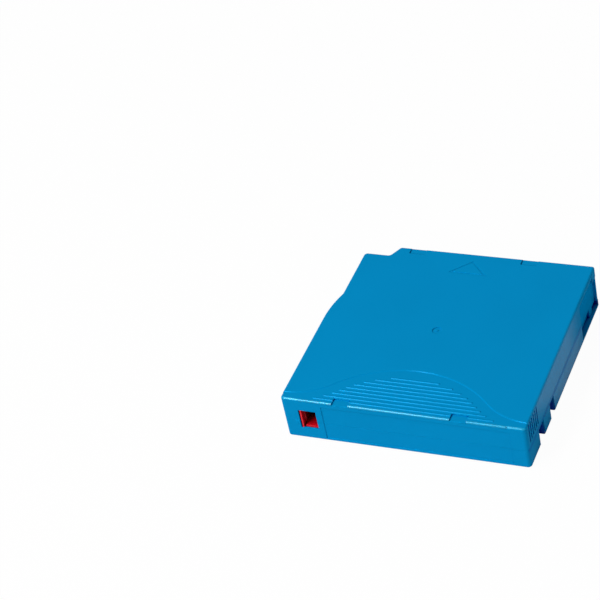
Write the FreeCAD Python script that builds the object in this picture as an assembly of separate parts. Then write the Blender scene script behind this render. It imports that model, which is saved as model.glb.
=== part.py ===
"""Half-inch single-reel data tape cartridge, one solid per physical piece.

Frame: millimetres, +Z up, origin at the middle of the underside. X runs along the label
face, Y from the label face (rear) to the leading edge that enters the drive first.
"""
import FreeCAD, Part
import math
import os

V = FreeCAD.Vector
UP = V(0, 0, 1)
TURN = 360.0
PAST = 1.0                # how far a cutting tool runs past the face that it opens
NEAR = 1e-3               # distance within which an edge counts as lying at a place

# ---------------------------------------------------------------- driving dimensions
# Reel and tape
REEL_R = 48.5             # flange radius
FLANGE_T = 1.2
HUB_R = 22.0              # winding radius of the hub
HUB_WALL = 3.0
HUB_FLOOR_T = 1.6
HUB_FLOOR_DROP = 0.8      # hub floor hangs this far below the lower flange
TAPE_WIDTH = 12.65
TAPE_EDGE_GAP = 0.3       # tape edge to either flange
PACK_R = 44.5             # radius of the wound tape
LEADER_T = 0.2

# Case shells
WALL = 2.0
FLOOR = 2.0
ROOF = 2.0
FLOOR_GAP = 1.0           # floor to lower flange
ROOF_GAP = 0.85           # upper flange to roof
RIM_GAP = 0.5             # flange rim to the leading and label walls
SIDE_RIM_GAP = 1.0        # flange rim to the left wall
DOOR_LANE = 3.0           # flange rim to the inner face of the door
PARTING_Z = 9.5           # height of the joint between the shells
TONGUE_H = 1.0            # lip of the lower shell that enters the upper one
TONGUE_T = 0.9
FIT_GAP = 0.1             # clearance between shell, tongue and seated pieces
CORNER_R = 1.6
LEADING_CORNER_R = 0.95   # leading corner beside the door
EDGE_R = 0.9
LOWER_BEVEL = 0.6
PARTITION_T = 1.0         # curved walls round the reel
PARTITION_GAP = 0.8       # flange rim to those walls
PARTITIONS = ((-152.0, 40.0), (-68.0, 42.0), (112.0, 40.0))     # start and sweep, degrees

# Insertion guide at the leading left corner
GUIDE_DEPTH = 6.1         # the step runs this far back from the leading edge
GUIDE_CORNER_IN = 2.8     # the forward part of the left side is this far in
GUIDE_STEP_X = 14.5       # left side to the foot of the slanted face
GUIDE_SLANT = 3.2         # run of the slanted face along X
KINK_R = 4.0              # where the bend meets the straight forward part

# Label side: arch, ribs and notches
ARCH_DEPTH = 0.3
ARCH_SLOPE = 0.25         # run of the sloped step round the arch
ARCH_RISE = 25.1          # label face to the crown of the arch
ARCH_FOOT = 3.6           # label face to the feet of the arch
ARCH_R = 47.0
RIB_COUNT = 10
RIB_PITCH = 2.13
RIB_BASE = 0.9
RIB_CREST = 0.3
RIB_HEIGHT = 0.24
RIB_FIRST_GAP = 5.6       # crown of the arch to the first rib
RIB_MARGIN = 4.3          # arch edge to the rib ends
EDGE_NOTCH_W = 7.2
EDGE_NOTCH_L = 3.7
EDGE_NOTCH_DEPTH = 0.6
EDGE_NOTCH_SPAN = 50.8    # between the two notches of one edge, middle to middle
EDGE_NOTCH_MID = 51.8     # left side to the middle between them
LABEL_LEFT = 17.6         # left side to the label recess
LABEL_RIGHT = 7.0
LABEL_BOTTOM = 1.6
LABEL_TOP = 3.1
LABEL_DEPTH = 0.2
ARROW_HALF = 8.5          # insertion arrow pressed into the roof
ARROW_LENGTH = 8.5
ARROW_FROM_EDGE = 5.0
ARROW_LINE = 0.6
ARROW_DEPTH = 0.15
GATE_R = 2.0              # dimple over the moulding gate
GATE_DEPTH = 0.3
GATE_NUB_R = 0.6
GATE_NUB_H = 0.18

# Grip grooves and picker notches
GRIP_COUNT = 6
GRIP_PITCH = 2.1
GRIP_WIDTH = 1.0
GRIP_DEPTH = 0.6
GRIP_FROM_REAR = 3.6      # label face to the middle of the first groove
GRIP_BOTTOM = 2.1         # above the parting plane
GRIP_TOP = 0.9            # below the top
NOTCH_REAR_Y = 13.6       # label face to the rear notch
NOTCH_REAR_L = 6.6
NOTCH_FRONT_Y = 28.9
NOTCH_FRONT_L = 5.6
NOTCH_H = 8.4
NOTCH_RIGHT_DEPTH = 4.0
NOTCH_LEFT_DEPTH = 2.6
NOTCH_WALL = 1.5

# Door and its track
DOOR_T = 1.2
DOOR_GAP = 0.2            # sliding clearance of the door on each side
SIDE_SKIN = 1.0           # wall left outside the door's track
DOOR_OPENING = 23.7       # length of the opening along the side
DOOR_CORNER_INSET = 1.0   # the door's front end lies this far behind the leading edge
DOOR_OVERLAP = 2.0        # door hidden behind the side wall when shut
DOOR_TRAVEL = 20.0
DOOR_SILL = 5.9           # lower edge of the outer panel
DOOR_HEAD = 19.2          # upper edge of the opening
DOOR_CORNER_HEAD = 16.6   # the same at the leading corner
DOOR_CORNER_SILL = 3.6
CORNER_POST = 4.2         # length of the low corner head along the side
TRACK_DEPTH = 0.8         # grooves in floor and roof
SLOT_FLOOR = 1.3          # floor thickness under the opener slot
CATCH_FROM_FRONT = 5.7    # front end of the door to the opener catch
CATCH_L = 3.8
DOOR_HOOK_L = 1.2         # return flange at the front end
DOOR_HOOK_IN = 1.0
DOOR_LIP_L = 0.9          # lip that the front end carries on its outer face
DOOR_LIP_SINK = 0.1       # outer face of the lip below the side of the case
DOOR_SPRING_R = 1.25      # mean coil radius
DOOR_SPRING_WIRE = 0.25
DOOR_SPRING_TURNS = 8
DOOR_SPRING_L = 39.0
COIL_CHORDS = 10          # chords per turn of either coil
COIL_SIDES = 5

# Write-protect switch
WINDOW_LEFT = 7.0         # left side to the window
WINDOW_W = 7.7
WINDOW_BOTTOM = 5.9
WINDOW_H = 9.4
WINDOW_SKIN = 0.7         # wall left in front of the switch
SWITCH_TRAVEL = 5.0
SWITCH_DEPTH = 8.0
SWITCH_LAP = 0.5          # switch hidden above and below the window
SWITCH_GAP = 0.1
SWITCH_PLATE_T = 1.2
SWITCH_WALL = 0.8
GRIP_BAR_W = 0.6
GRIP_BAR_DEPTH = 2.5      # rear face to the ledge beside the finger bar
GRIP_LEDGE_W = 0.45
GRIP_BAR_INSET = 0.6      # window edge to the finger bar
SENSE_HOLE = 4.6          # square hole under the switch
SENSE_FOOT = 4.0
RAIL_T = 1.0

# Brake
LIFT = 2.0                # travel of brake and release
BRAKE_TEETH = 36
TOOTH_FILL = 0.8          # tooth width as a share of the pitch at the inner edge
TOOTH_INSET = 0.25        # tooth ends set in from the edges of their ring
MERGE = 0.05              # depth that fused pieces run into each other
BRAKE_RING_IN = 9.0
BRAKE_RING_OUT = 11.6
BRAKE_TOOTH_H = 1.2
BRAKE_MESH_GAP = 0.2
BLOCK_H = 1.6             # the three toothed blocks on the hub floor
BLOCK_ANGLE = 44.0
BLOCK_FROM_LEG = 60.0     # middle of a block before the leg that follows it, degrees
BRAKE_DISC_R = 12.0
BRAKE_DISC_T = 1.8
BRAKE_POST_R = 5.5
BRAKE_POST_H = 5.4
KEY_ARM = 4.1             # half length of the cross key
KEY_T = 1.3
KEY_GAP = 0.15
BRAKE_SPRING_R = 8.6
BRAKE_SPRING_WIRE = 0.5
BRAKE_SPRING_TURNS = 4
SPRING_RING_T = 1.0
SPRING_RING_H = 2.4

# Release spider
SPIDER_T = 1.2
SPIDER_RISE = 0.2         # hub floor to the spider's underside
SPIDER_HUB_R = 5.0
SPIDER_ARM_W = 3.4
LEG_CIRCLE_R = 15.6
LEG_R = 1.5
LEG_ANGLES = (90.0, 210.0, 330.0)
LEG_HOLE_GAP = 0.3
LEG_TIP_Z = 1.1           # underside of the legs above the underside of the case

# Drive coupling under the hub
DRIVE_OPENING_R = 18.6
DRIVE_RIM_T = 1.2         # rim that the reel rests on
GEAR_TEETH = 40
GEAR_IN = 14.0
GEAR_OUT = 17.2
GEAR_H = 1.3
GEAR_LEG_CLEAR = 1.2
PLATE_IN = 5.0            # steel drive plate
PLATE_OUT = 12.6
PLATE_T = 1.0

# Leader pin
PIN_FROM_SIDE = 7.2
PIN_FROM_LEADING = 8.5
PIN_R = 1.25
PIN_END_R = 2.0
PIN_END_T = 0.8
PIN_SIDES = 24
PIN_SEAT_GAP = 0.4        # pin end to floor and roof
CLIP_T = 0.7
CLIP_SLOT = 1.2
CLIP_MARGIN = 0.5         # shorter than the tape width on each side
PIN_SPRING_T = 0.3
PIN_SPRING_W = 5.0
PIN_SPRING_BACK = 4.0     # pin axis to the spine of the spring

# Screws, locating holes and memory board
SMALL_SIDES = 16          # flats that stand for a small round inside the case
DISC_SIDES = 32           # flats that stand for a disc or ring inside the hub
SCREW_R = 1.15
SCREW_HEAD_R = 2.3
SCREW_HEAD_T = 1.5
SCREW_L = 11.0
SCREW_SINK = 1.3          # underside of the case to the screw head
SCREW_BOSS_R = 3.6
SCREW_CLEAR = 0.3
SCREW_CROSS = 0.6         # reach and depth of the cross recess, as a share of the head
SCREW_CROSS_W = 0.5
SCREW_ANGLES = (-140.0, -40.4, 138.5, 39.7)
SCREW_REAR_LEFT_OUT = 5.4     # reel chamber to each boss
SCREW_REAR_RIGHT_OUT = 5.8
SCREW_LEAD_LEFT_OUT = 5.3
SCREW_LEAD_RIGHT_OUT = 0.3
LOCATE_R = 2.0
LOCATE_DEPTH = 4.0
LOCATE_BOSS_R = 3.4
LOCATE_SPAN = 70.6
LOCATE_FROM_LEADING = 10.0
LOCATE_SLOT = 1.5         # extra length of the slotted hole
BOARD_L = 16.0
BOARD_W = 9.0
BOARD_T = 0.8
BOARD_FROM_SIDE = 14.0
BOARD_FROM_REAR = 6.6
BOARD_TILT = 45.0
BOARD_SEAT_T = 1.2
CHIP_R = 2.2
CHIP_T = 0.6

# ---------------------------------------------------------------- derived places
FLANGE_LOW = FLOOR + FLOOR_GAP
TAPE_LOW = FLANGE_LOW + FLANGE_T + TAPE_EDGE_GAP
TAPE_HIGH = TAPE_LOW + TAPE_WIDTH
FLANGE_HIGH = TAPE_HIGH + TAPE_EDGE_GAP
CEILING = FLANGE_HIGH + FLANGE_T + ROOF_GAP
HEIGHT = CEILING + ROOF

LEFT_ARC_R = REEL_R + SIDE_RIM_GAP + WALL
RIGHT_REACH = REEL_R + DOOR_LANE + DOOR_T + DOOR_GAP + SIDE_SKIN
WIDTH = LEFT_ARC_R + RIGHT_REACH
DEPTH = 2 * (REEL_R + RIM_GAP + WALL)
REEL_X = LEFT_ARC_R - WIDTH / 2
SIDE = WIDTH / 2
LEADING = DEPTH / 2
REAR = -LEADING

DOOR_OUT = SIDE - SIDE_SKIN - DOOR_GAP
DOOR_IN = DOOR_OUT - DOOR_T
SKIRT_IN = DOOR_IN - DOOR_T
DOOR_FRONT = LEADING - DOOR_CORNER_INSET
OPENING_REAR = DOOR_FRONT - DOOR_OPENING
DOOR_REAR = OPENING_REAR - DOOR_OVERLAP
LANE_REAR = DOOR_REAR - DOOR_TRAVEL - DOOR_GAP
HOOK_IN = DOOR_IN - DOOR_HOOK_IN

HUB_FLOOR_LOW = FLANGE_LOW - HUB_FLOOR_DROP
HUB_FLOOR_TOP = HUB_FLOOR_LOW + HUB_FLOOR_T
BLOCK_TOP = HUB_FLOOR_TOP + BLOCK_H
BRAKE_UNDER = BLOCK_TOP + BRAKE_TOOTH_H + BRAKE_MESH_GAP
BRAKE_TOP = BRAKE_UNDER + BRAKE_DISC_T
POST_TOP = BRAKE_TOP + BRAKE_POST_H
KEY_SLOT_FLOOR = BRAKE_TOP + KEY_GAP
KEY_TIP = KEY_SLOT_FLOOR + LIFT + KEY_GAP

WINDOW_X = -SIDE + WINDOW_LEFT
WINDOW_TOP = WINDOW_BOTTOM + WINDOW_H
SWITCH_LOW = WINDOW_BOTTOM - SWITCH_LAP
SWITCH_TOP = WINDOW_TOP + SWITCH_LAP
SWITCH_FRONT = REAR + WINDOW_SKIN + SWITCH_GAP
SWITCH_BACK = SWITCH_FRONT + SWITCH_DEPTH
BAR_X = WINDOW_X + GRIP_BAR_INSET
SWITCH_RIGHT = WINDOW_X + WINDOW_W + SWITCH_LAP
SWITCH_LEFT = BAR_X - SWITCH_TRAVEL - SWITCH_GAP

PIN_X = SIDE - PIN_FROM_SIDE
PIN_Y = LEADING - PIN_FROM_LEADING
PIN_LOW = FLOOR + PIN_SEAT_GAP
PIN_HIGH = CEILING - PIN_SEAT_GAP


# ---------------------------------------------------------------- small makers
def box(x0, x1, y0, y1, z0, z1):
    """Block between two corners."""
    return Part.makeBox(x1 - x0, y1 - y0, z1 - z0, V(x0, y0, z0))


def rod(x, y, radius, z0, z1):
    """Upright cylinder."""
    return Part.makeCylinder(radius, z1 - z0, V(x, y, z0), UP)


def post(x, y, radius, z0, z1, sides=None):
    """Upright round drawn with flats, for pieces inside the case."""
    count = sides or SMALL_SIDES
    points = [polar(radius, TURN * i / count, x, y) for i in range(count)]
    return prism(points, z0, z1)


def ring(x, y, r_in, r_out, z0, z1):
    """Upright tube."""
    return rod(x, y, r_out, z0, z1).cut(rod(x, y, r_in, z0, z1))


def prism(points, z0, z1):
    """Upright prism over a polygon given as (x, y) pairs."""
    wire = Part.makePolygon([V(x, y, z0) for x, y in points] + [V(*points[0], z0)])
    return Part.Face(wire).extrude(V(0, 0, z1 - z0))


def fuse(first, others):
    """One solid from touching pieces, with merged faces."""
    return first.multiFuse(others).removeSplitter() if others else first


def cut(body, tools):
    """Body less every tool."""
    return body.cut(Part.makeCompound(tools))


def turned(shape, degrees, x=REEL_X, y=0.0):
    """Copy turned about an upright axis."""
    copy = shape.copy()
    copy.rotate(V(x, y, 0), UP, degrees)
    return copy


def polar(radius, degrees, x=REEL_X, y=0.0):
    """Point on a circle round the reel axis."""
    angle = math.radians(degrees)
    return x + radius * math.cos(angle), y + radius * math.sin(angle)


def sector(r_in, r_out, start, sweep, z0, z1):
    """Curved wall round the reel axis."""
    outer = Part.makeCylinder(r_out, z1 - z0, V(REEL_X, 0, z0), UP, sweep)
    inner = Part.makeCylinder(r_in, z1 - z0, V(REEL_X, 0, z0), UP, sweep)
    return turned(outer.cut(inner), start)


def coil(radius, wire, turns, length):
    """Compression coil from the origin up along Z: a faceted wire along short chords."""
    steps = turns * COIL_CHORDS
    path = [V(*polar(radius, TURN * i / COIL_CHORDS, 0.0), length * i / steps)
            for i in range(steps + 1)]
    tangent = path[1] - path[0]
    circle = Part.makeCircle(wire, path[0], tangent)
    section = Part.makePolygon(circle.discretize(COIL_SIDES + 1))
    return Part.makePolygon(path).makePipeShell([section], True, False, 1)


# ---------------------------------------------------------------- case outline
def arc(p0, p1, p2):
    """Edge through three (x, y) points."""
    return Part.Arc(V(*p0, 0), V(*p1, 0), V(*p2, 0)).toShape()


def line(p0, p1):
    """Straight edge between two (x, y) points."""
    return Part.makeLine(V(*p0, 0), V(*p1, 0))


def case_outline():
    """Plan of the case: a rectangle with the left side bent round the reel and a guide step."""
    left_in = -SIDE + GUIDE_CORNER_IN
    kink_y = math.sqrt(LEFT_ARC_R ** 2 - (left_in - REEL_X) ** 2)
    kink_angle = math.degrees(math.atan2(kink_y, left_in - REEL_X))
    step_y = LEADING - GUIDE_DEPTH
    step_x = -SIDE + GUIDE_STEP_X
    corners = [
        (-SIDE, 0.0), (-SIDE, REAR), (SIDE, REAR), (SIDE, LEADING),
        (step_x + GUIDE_SLANT, LEADING), (step_x, step_y), (left_in, step_y), (left_in, kink_y),
    ]
    edges = [line(corners[i], corners[i + 1]) for i in range(len(corners) - 1)]
    middle = polar(LEFT_ARC_R, (TURN / 2 + kink_angle) / 2)
    edges.append(arc(corners[-1], middle, corners[0]))
    return Part.Wire(edges)


def upright_edges(solid):
    """Pairs of an upright edge and its (x, y) place."""
    found = []
    for edge in solid.Edges:
        ends = [vertex.Point for vertex in edge.Vertexes]
        if len(ends) == 2 and math.hypot(ends[0].x - ends[1].x, ends[0].y - ends[1].y) < NEAR:
            found.append((edge, ends[0].x, ends[0].y))
    return found


def rounded_case(z0, z1):
    """Solid of the case plan with its upright corners rounded."""
    solid = Part.Face(case_outline()).extrude(V(0, 0, z1 - z0))
    solid.translate(V(0, 0, z0))
    lead = [e for e, x, y in upright_edges(solid)
            if abs(x - SIDE) < NEAR and abs(y - LEADING) < NEAR]
    solid = solid.makeFillet(LEADING_CORNER_R, lead)
    corners = [e for e, x, y in upright_edges(solid)
               if abs(y) > LEADING - GUIDE_DEPTH - NEAR and (x < 0 or y < 0)]
    solid = solid.makeFillet(CORNER_R, corners)
    left_in = -SIDE + GUIDE_CORNER_IN
    kink = [e for e, x, y in upright_edges(solid)
            if abs(x - left_in) < NEAR and 0 < y < LEADING - GUIDE_DEPTH - 2 * CORNER_R]
    return solid.makeFillet(KINK_R, kink)


def rim_edges(solid, z):
    """Edges of the outline at one height."""
    return [e for e in solid.Edges if all(abs(v.Z - z) < NEAR for v in e.Vertexes)]


def upper_body():
    """Closed upper half: roof lowered inside the arch, with a rounded rim at both heights."""
    field = HEIGHT - ARCH_DEPTH
    tall, low = [rounded_case(PARTING_Z, top) for top in (HEIGHT, field)]
    tall = tall.makeFillet(EDGE_R, rim_edges(tall, HEIGHT))
    low = low.makeFillet(EDGE_R, rim_edges(low, field))
    column = Part.Face(arch_wire(0.0, field - EDGE_R)).extrude(V(0, 0, EDGE_R))
    step = Part.makeLoft([arch_wire(0.0, field), arch_wire(-2 * ARCH_SLOPE, HEIGHT + ARCH_DEPTH)],
                         True, True)
    return fuse(cut(tall, [column, step]), [low.common(column)])


def lower_body():
    """Closed lower half with a bevelled rim."""
    solid = rounded_case(0, PARTING_Z)
    return solid.makeChamfer(LOWER_BEVEL, rim_edges(solid, 0))


def inset_case(inset, z0, z1):
    """The case plan drawn in by a wall thickness."""
    wire = case_outline().makeOffset2D(-inset)
    solid = Part.Face(wire).extrude(V(0, 0, z1 - z0))
    solid.translate(V(0, 0, z0))
    return solid


# ---------------------------------------------------------------- arch
def bell():
    """Centre of the crown arc, the feet above it and the radius of the flared feet."""
    centre = REAR + ARCH_RISE - ARCH_R
    feet = ARCH_FOOT - ARCH_RISE + ARCH_R
    flare = (SIDE ** 2 + feet ** 2 - ARCH_R ** 2) / (2 * (ARCH_R - feet))
    return centre, feet, flare


def bell_half_width(y, inward):
    """Half width of the arch at a given y, drawn in by a margin."""
    centre, feet, flare = bell()
    share = (ARCH_R - inward) / (ARCH_R + flare)
    if y > centre + (feet + flare) * share:
        return math.sqrt(max((ARCH_R - inward) ** 2 - (y - centre) ** 2, 0.0))
    rise = centre + feet + flare - y
    return SIDE - math.sqrt(max((flare + inward) ** 2 - rise ** 2, 0.0))


def arch_wire(inward, z):
    """Closed outline of the arch at one height, drawn in by a margin."""
    centre, feet, flare = bell()
    crown_r = ARCH_R - inward
    foot_r = flare + inward
    share = crown_r / (ARCH_R + flare)
    meet = (SIDE * share, centre + (feet + flare) * share)
    lean = math.atan2(SIDE, feet + flare) / 2
    pivot = centre + feet + flare
    bend = (SIDE - foot_r * math.sin(lean), pivot - foot_r * math.cos(lean))
    foot = pivot - foot_r
    out = SIDE + PAST
    low = REAR - PAST
    edges = [
        arc((SIDE, foot), bend, meet),
        arc(meet, (0, centre + crown_r), (-meet[0], meet[1])),
        arc((-meet[0], meet[1]), (-bend[0], bend[1]), (-SIDE, foot)),
        line((-SIDE, foot), (-out, foot)),
        line((-out, foot), (-out, low)),
        line((-out, low), (out, low)),
        line((out, low), (out, foot)),
        line((out, foot), (SIDE, foot)),
    ]
    wire = Part.Wire(edges)
    wire.translate(V(0, 0, z))
    return wire


def arch_ribs():
    """Raised ribs across the arch with sloped flanks, each ended by the bell curve."""
    root = HEIGHT - ROOF / 2
    field = HEIGHT - ARCH_DEPTH
    crest = field + RIB_HEIGHT
    ribs = []
    for index in range(RIB_COUNT):
        y = REAR + ARCH_RISE - RIB_FIRST_GAP - index * RIB_PITCH
        half = bell_half_width(y, RIB_MARGIN)
        flank = [(RIB_BASE / 2, root), (RIB_BASE / 2, field), (RIB_CREST / 2, crest)]
        section = [(y + dy, z) for dy, z in flank] + [(y - dy, z) for dy, z in reversed(flank)]
        points = [V(-half, across, z) for across, z in section]
        ribs.append(Part.Face(Part.makePolygon(points + [points[0]])).extrude(V(2 * half, 0, 0)))
    return ribs


# ---------------------------------------------------------------- openings shared by the shells
def door_openings():
    """Cuts for the door: its track, the side opening, the opener slot and the corner."""
    out = SIDE + PAST
    track_low = SLOT_FLOOR
    track_high = CEILING + TRACK_DEPTH
    lane = box(DOOR_IN - DOOR_GAP, DOOR_OUT + DOOR_GAP, LANE_REAR, DOOR_FRONT + DOOR_GAP,
               track_low, track_high)
    skirt_lane = box(SKIRT_IN - DOOR_GAP, DOOR_IN + DOOR_GAP, LANE_REAR, DOOR_FRONT + DOOR_GAP,
                     FLOOR - TRACK_DEPTH, CEILING)
    hook_lane = box(HOOK_IN - DOOR_GAP, DOOR_OUT, DOOR_FRONT - DOOR_HOOK_L - DOOR_GAP,
                    DOOR_FRONT + DOOR_GAP, FLOOR, CEILING)
    opening = box(DOOR_IN + DOOR_GAP, out, OPENING_REAR, DOOR_FRONT - CORNER_POST,
                  SLOT_FLOOR, DOOR_HEAD)
    corner = box(DOOR_IN + DOOR_GAP, out, OPENING_REAR, DOOR_FRONT,
                 SLOT_FLOOR, DOOR_CORNER_HEAD)
    front = box(HOOK_IN - DOOR_GAP, out, DOOR_FRONT - 2 * DOOR_GAP, LEADING + PAST,
                DOOR_CORNER_SILL, DOOR_CORNER_HEAD)
    return [lane, skirt_lane, hook_lane, opening, corner, front]


def switch_openings():
    """Window for the write-protect switch and the pocket that it slides in."""
    window = box(WINDOW_X, WINDOW_X + WINDOW_W, REAR - PAST, REAR + WALL + PAST,
                 WINDOW_BOTTOM, WINDOW_TOP)
    pocket = box(SWITCH_LEFT - SWITCH_GAP, SWITCH_RIGHT + SWITCH_TRAVEL + SWITCH_GAP,
                 REAR + WINDOW_SKIN, SWITCH_BACK + SWITCH_GAP,
                 SWITCH_LOW - SWITCH_GAP, SWITCH_TOP + SWITCH_GAP)
    return [window, pocket]


def label_recess():
    """Shallow field for the label on the rear face."""
    return box(-SIDE + LABEL_LEFT, SIDE - LABEL_RIGHT, REAR - PAST, REAR + LABEL_DEPTH,
               LABEL_BOTTOM, HEIGHT - LABEL_TOP)


def notch(side, y0, length, depth):
    """Picker notch cut up from the underside; side is +1 for right and -1 for left."""
    near = side * (SIDE - depth)
    far = side * (SIDE + PAST)
    return box(min(near, far), max(near, far), y0, y0 + length, -PAST, NOTCH_H)


def notch_block(side, y0, length, depth):
    """Inner wall that closes a picker notch off from the reel chamber."""
    near = side * (SIDE - depth - NOTCH_WALL)
    far = side * (SIDE - WALL / 2)
    return box(min(near, far), max(near, far), y0 - NOTCH_WALL, y0 + length + NOTCH_WALL,
               FLOOR / 2, PARTING_Z)


NOTCHES = [
    (side, REAR + start, length, depth)
    for side, depth in ((1, NOTCH_RIGHT_DEPTH), (-1, NOTCH_LEFT_DEPTH))
    for start, length in ((NOTCH_REAR_Y, NOTCH_REAR_L), (NOTCH_FRONT_Y, NOTCH_FRONT_L))
]


def screw_places():
    """Axis of each case screw, just outside the reel chamber."""
    base = REEL_R + RIM_GAP + SCREW_BOSS_R
    outs = (SCREW_REAR_LEFT_OUT, SCREW_REAR_RIGHT_OUT, SCREW_LEAD_LEFT_OUT, SCREW_LEAD_RIGHT_OUT)
    return [polar(base + out, angle) for angle, out in zip(SCREW_ANGLES, outs)]


def locate_places():
    """Axes of the round and the slotted locating hole."""
    y = LEADING - LOCATE_FROM_LEADING
    return (REEL_X - LOCATE_SPAN / 2, y), (REEL_X + LOCATE_SPAN / 2, y)


# ---------------------------------------------------------------- top shell
def edge_notches():
    """Four shallow notches in the roof's leading and label edges."""
    tools = []
    for side in (-1, 1):
        x = -SIDE + EDGE_NOTCH_MID + side * EDGE_NOTCH_SPAN / 2
        x0 = x - EDGE_NOTCH_W / 2
        x1 = x + EDGE_NOTCH_W / 2
        z0 = HEIGHT - ARCH_DEPTH - EDGE_NOTCH_DEPTH
        tools.append(box(x0, x1, REAR - PAST, REAR + EDGE_NOTCH_L, z0, HEIGHT + PAST))
        tools.append(box(x0, x1, LEADING - EDGE_NOTCH_L, LEADING + PAST,
                         z0 + ARCH_DEPTH, HEIGHT + PAST))
    return tools


def insertion_arrow():
    """Arrow outline pressed into the roof, pointing at the leading edge."""
    tip = LEADING - ARROW_FROM_EDGE
    base = tip - ARROW_LENGTH
    outer = [(-ARROW_HALF, base), (ARROW_HALF, base), (0, tip)]
    slope = math.hypot(ARROW_HALF, ARROW_LENGTH) / ARROW_HALF
    low = base + ARROW_LINE
    high = tip - ARROW_LINE * slope
    half = ARROW_HALF * (high - low) / ARROW_LENGTH
    inner = [(-half, low), (half, low), (0, high)]
    z0 = HEIGHT - ARROW_DEPTH
    return prism(outer, z0, HEIGHT + PAST).cut(prism(inner, z0, HEIGHT + PAST))


def grip_grooves():
    """Upright finger grooves on both sides of the upper shell."""
    tools = []
    for side in (-1, 1):
        near = side * (SIDE - GRIP_DEPTH)
        far = side * (SIDE + PAST)
        for index in range(GRIP_COUNT):
            y = REAR + GRIP_FROM_REAR + index * GRIP_PITCH
            tools.append(box(min(near, far), max(near, far),
                             y - GRIP_WIDTH / 2, y + GRIP_WIDTH / 2,
                             PARTING_Z + GRIP_BOTTOM, HEIGHT - GRIP_TOP))
    return tools


def partitions(z0, z1):
    """Curved walls that keep the reel chamber apart from three corners."""
    r_in = REEL_R + PARTITION_GAP
    return [sector(r_in, r_in + PARTITION_T, start, sweep, z0, z1) for start, sweep in PARTITIONS]


def key_cross(arm, thick, z0, z1):
    """Upright cross about the reel axis."""
    across = box(REEL_X - arm, REEL_X + arm, -thick / 2, thick / 2, z0, z1)
    along = box(REEL_X - thick / 2, REEL_X + thick / 2, -arm, arm, z0, z1)
    return across.fuse(along)


def make_top_shell():
    """Upper half of the case."""
    shell = upper_body().cut(inset_case(WALL, PARTING_Z - PAST, CEILING))
    rebate = inset_case(WALL - TONGUE_T - FIT_GAP, PARTING_Z, PARTING_Z + TONGUE_H + FIT_GAP)
    shell = shell.cut(rebate)
    shell = fuse(shell, arch_ribs())
    inside = partitions(PARTING_Z + TONGUE_H + FIT_GAP, CEILING + ROOF / 2)
    for x, y in screw_places():
        inside.append(post(x, y, SCREW_BOSS_R - SCREW_CLEAR,
                           PARTING_Z + FIT_GAP, CEILING + ROOF / 2))
    ring_in = BRAKE_SPRING_R + BRAKE_SPRING_WIRE + DOOR_GAP
    seat = [post(REEL_X, 0, radius, CEILING - SPRING_RING_H, CEILING + ROOF / 2, DISC_SIDES)
            for radius in (ring_in + SPRING_RING_T, ring_in)]
    inside.append(seat[0].cut(seat[1]))
    inside.append(key_cross(KEY_ARM, KEY_T, KEY_TIP, CEILING + ROOF / 2))
    shell = fuse(shell, inside)
    tools = edge_notches() + grip_grooves() + door_openings() + switch_openings()
    tools += [label_recess(), insertion_arrow()]
    tools.append(post(REEL_X, 0, GATE_R, HEIGHT - GATE_DEPTH, HEIGHT + PAST))
    for x, y in screw_places():
        tools.append(post(x, y, SCREW_R, PARTING_Z - PAST, SCREW_SINK + SCREW_HEAD_T + SCREW_L + PAST))
    shell = cut(shell, tools)
    nub = post(REEL_X, 0, GATE_NUB_R, HEIGHT - ROOF / 2, HEIGHT - GATE_DEPTH + GATE_NUB_H)
    return fuse(shell, [nub])


# ---------------------------------------------------------------- bottom shell
def board_seats():
    """Two cradles that hold the memory board aslant in the rear right corner."""
    x0, x1, y, z = board_place()
    seats = []
    for x in (x0 + BOARD_SEAT_T, x1 - 2 * BOARD_SEAT_T):
        reach = BOARD_W * math.cos(math.radians(BOARD_TILT)) / 2
        seats.append(box(x, x + BOARD_SEAT_T, y - reach, y + reach + 2 * BOARD_SEAT_T,
                         FLOOR / 2, z + reach / 2))
    return seats


def board_place():
    """Ends of the memory board along X and the middle of its section."""
    x1 = SIDE - BOARD_FROM_SIDE + BOARD_L / 2
    reach = BOARD_W * math.sin(math.radians(BOARD_TILT)) / 2
    return x1 - BOARD_L, x1, REAR + BOARD_FROM_REAR, FLOOR + reach + BOARD_T


def board_solid(extra):
    """Memory board, or the slot for it when extra clearance is given."""
    x0, x1, y, z = board_place()
    solid = box(x0 - extra, x1 + extra, y - BOARD_W / 2 - extra, y + BOARD_W / 2 + extra,
                z - BOARD_T / 2 - extra, z + BOARD_T / 2 + extra)
    solid.rotate(V(0, y, z), V(1, 0, 0), -BOARD_TILT)
    return solid


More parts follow.
